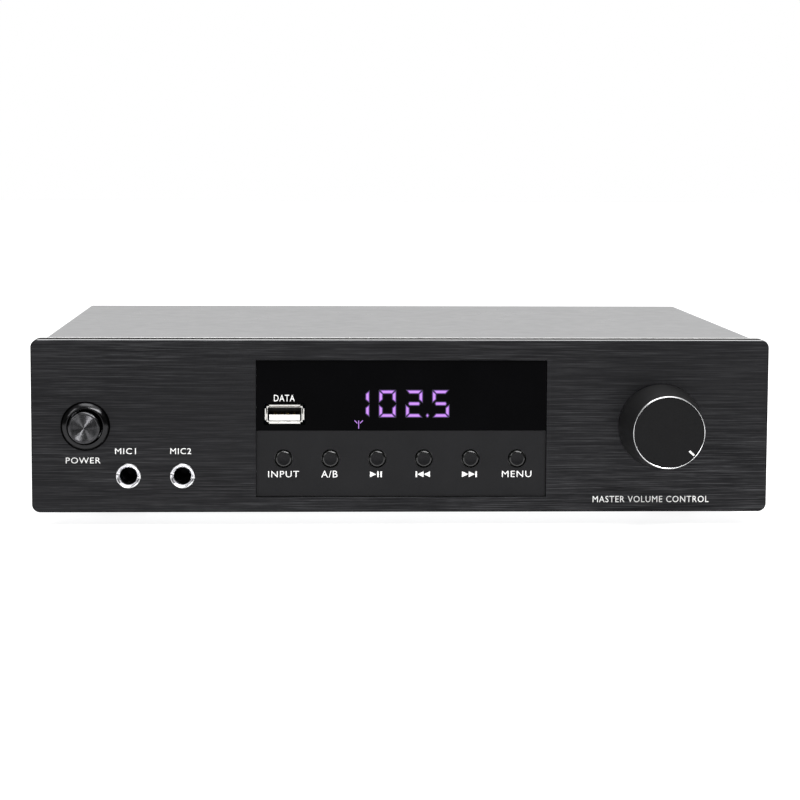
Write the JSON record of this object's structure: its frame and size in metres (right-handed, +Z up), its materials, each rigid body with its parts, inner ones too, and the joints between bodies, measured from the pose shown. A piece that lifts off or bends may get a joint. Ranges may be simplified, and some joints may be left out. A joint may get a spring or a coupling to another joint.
{
  "type": "stereo receiver",
  "caption": "Compact stereo receiver with a brushed black faceplate, turning volume knob, push buttons, lit display, microphone jacks and media port on a folded steel case.",
  "frame": {"origin": "under the middle of the whole receiver, knob and rear sockets included, on the surface that its feet stand on", "axes": "+X to the right seen from the front, +Y from the front to the back, +Z up"},
  "size_m": [0.27, 0.2266, 0.0685],
  "materials": {
    "faceplate_black": "brushed, black anodised",
    "knob_black": "satin, black anodised",
    "window_black": "polished, near black",
    "panel_grey": "fine matte",
    "bezel_metal": "polished, dark anodised",
    "spun_metal": "spun face, dark anodised",
    "button_black": "satin",
    "black_plastic": "moulded, matte",
    "white_plastic": "moulded, matte",
    "red_plastic": "moulded, satin",
    "bright_chrome": "polished",
    "zinc_steel": "zinc plated",
    "cover_paint": "fine satin powder coat",
    "rear_paint": "matte paint",
    "foot_rubber": "moulded, matte",
    "screw_black": "black zinc",
    "board_green": "solder mask",
    "board_blue": "solder mask",
    "display_glow": "dark moulding behind violet segments",
    "heatsink_bare": "extruded, bare",
    "capacitor_sleeve": "heat-shrunk sleeve",
    "winding_tape": "enamelled copper under clear tape",
    "component_mix": "moulded parts and windings",
    "cable_grey": "extruded",
    "wire_pvc": "extruded",
    "brass_post": "turned"
  },
  "bodies": {
    "receiver": {"faceplate": "faceplate_black", "display_window": "window_black", "button_panel": "panel_grey", "power_bezel": "bezel_metal", "power_switch": "black_plastic", "encoder_body": "zinc_steel", "encoder_nut": "zinc_steel", "mic_jack_1": "bright_chrome", "mic_jack_2": "bright_chrome", "mic_jack_housings": "black_plastic", "media_port_shell": "bright_chrome", "media_port_tongue": "white_plastic", "control_board": "board_green", "display_module": "display_glow", "tact_switches": "black_plastic", "front_subpanel": "zinc_steel", "chassis_base": "zinc_steel", "rear_panel": "rear_paint", "top_cover": "cover_paint", "rubber_feet": "foot_rubber", "case_screws": "screw_black", "board_screws": "zinc_steel", "board_standoffs": "brass_post", "main_board": "board_green", "decoder_board": "board_blue", "heatsink": "heatsink_bare", "amplifier_chips": "black_plastic", "filter_capacitors": "capacitor_sleeve", "board_components": "component_mix", "toroid_transformer": "winding_tape", "toroid_clamp": "zinc_steel", "ribbon_cable": "cable_grey", "wire_harness": "wire_pvc", "phono_housing": "black_plastic", "phono_sleeves": "bright_chrome", "phono_inserts_white": "white_plastic", "phono_inserts_red": "red_plastic", "terminal_housing": "black_plastic", "tuner_module": "bright_chrome", "mains_inlet": "black_plastic", "inlet_pins": "zinc_steel"},
    "power": {"power_button": "spun_metal", "power_plunger": "white_plastic"},
    "volume": {"volume_knob": "knob_black", "knob_insert": "black_plastic", "encoder_shaft": "zinc_steel"},
    "key_input": {"button_input": "button_black"},
    "key_speakers": {"button_speakers": "button_black"},
    "key_play": {"button_play": "button_black"},
    "key_previous": {"button_previous": "button_black"},
    "key_next": {"button_next": "button_black"},
    "key_menu": {"button_menu": "button_black"},
    "lever_a_left_plus": {"lever_a_left_plus": "red_plastic"},
    "lever_a_left_minus": {"lever_a_left_minus": "black_plastic"},
    "lever_a_right_plus": {"lever_a_right_plus": "red_plastic"},
    "lever_a_right_minus": {"lever_a_right_minus": "black_plastic"},
    "lever_b_left_plus": {"lever_b_left_plus": "red_plastic"},
    "lever_b_left_minus": {"lever_b_left_minus": "black_plastic"},
    "lever_b_right_plus": {"lever_b_right_plus": "red_plastic"},
    "lever_b_right_minus": {"lever_b_right_minus": "black_plastic"}
  },
  "joints": [
    {"name": "power_push", "type": "slide", "parent": "receiver", "child": "power", "axis": [0, 1, 0], "range_m": [0, 0.0034], "stiffness_N_per_m": 900, "springref_m": -0.0008},
    {"name": "volume_turn", "type": "hinge", "parent": "receiver", "child": "volume", "pos_m": [0.0953, -0.0917, 0.03675], "axis": [0, 1, 0], "continuous": true},
    {"name": "input_push", "type": "slide", "parent": "receiver", "child": "key_input", "axis": [0, 1, 0], "range_m": [0, 0.0008], "stiffness_N_per_m": 1500, "springref_m": -0.0003},
    {"name": "speakers_push", "type": "slide", "parent": "receiver", "child": "key_speakers", "axis": [0, 1, 0], "range_m": [0, 0.0008], "stiffness_N_per_m": 1500, "springref_m": -0.0003},
    {"name": "play_push", "type": "slide", "parent": "receiver", "child": "key_play", "axis": [0, 1, 0], "range_m": [0, 0.0008], "stiffness_N_per_m": 1500, "springref_m": -0.0003},
    {"name": "previous_push", "type": "slide", "parent": "receiver", "child": "key_previous", "axis": [0, 1, 0], "range_m": [0, 0.0008], "stiffness_N_per_m": 1500, "springref_m": -0.0003},
    {"name": "next_push", "type": "slide", "parent": "receiver", "child": "key_next", "axis": [0, 1, 0], "range_m": [0, 0.0008], "stiffness_N_per_m": 1500, "springref_m": -0.0003},
    {"name": "menu_push", "type": "slide", "parent": "receiver", "child": "key_menu", "axis": [0, 1, 0], "range_m": [0, 0.0008], "stiffness_N_per_m": 1500, "springref_m": -0.0003},
    {"name": "a_left_plus_press", "type": "hinge", "parent": "receiver", "child": "lever_a_left_plus", "pos_m": [0.0405, 0.0963, 0.052], "axis": [-1, 0, 0], "range_deg": [0, 20], "stiffness_Nm_per_rad": 0.25, "springref_deg": -8.59},
    {"name": "a_left_minus_press", "type": "hinge", "parent": "receiver", "child": "lever_a_left_minus", "pos_m": [0.0575, 0.0963, 0.052], "axis": [-1, 0, 0], "range_deg": [0, 20], "stiffness_Nm_per_rad": 0.25, "springref_deg": -8.59},
    {"name": "a_right_plus_press", "type": "hinge", "parent": "receiver", "child": "lever_a_right_plus", "pos_m": [0.0745, 0.0963, 0.052], "axis": [-1, 0, 0], "range_deg": [0, 20], "stiffness_Nm_per_rad": 0.25, "springref_deg": -8.59},
    {"name": "a_right_minus_press", "type": "hinge", "parent": "receiver", "child": "lever_a_right_minus", "pos_m": [0.0915, 0.0963, 0.052], "axis": [-1, 0, 0], "range_deg": [0, 20], "stiffness_Nm_per_rad": 0.25, "springref_deg": -8.59},
    {"name": "b_left_plus_press", "type": "hinge", "parent": "receiver", "child": "lever_b_left_plus", "pos_m": [0.0405, 0.0963, 0.033], "axis": [-1, 0, 0], "range_deg": [0, 20], "stiffness_Nm_per_rad": 0.25, "springref_deg": -8.59},
    {"name": "b_left_minus_press", "type": "hinge", "parent": "receiver", "child": "lever_b_left_minus", "pos_m": [0.0575, 0.0963, 0.033], "axis": [-1, 0, 0], "range_deg": [0, 20], "stiffness_Nm_per_rad": 0.25, "springref_deg": -8.59},
    {"name": "b_right_plus_press", "type": "hinge", "parent": "receiver", "child": "lever_b_right_plus", "pos_m": [0.0745, 0.0963, 0.033], "axis": [-1, 0, 0], "range_deg": [0, 20], "stiffness_Nm_per_rad": 0.25, "springref_deg": -8.59},
    {"name": "b_right_minus_press", "type": "hinge", "parent": "receiver", "child": "lever_b_right_minus", "pos_m": [0.0915, 0.0963, 0.033], "axis": [-1, 0, 0], "range_deg": [0, 20], "stiffness_Nm_per_rad": 0.25, "springref_deg": -8.59}
  ]
}
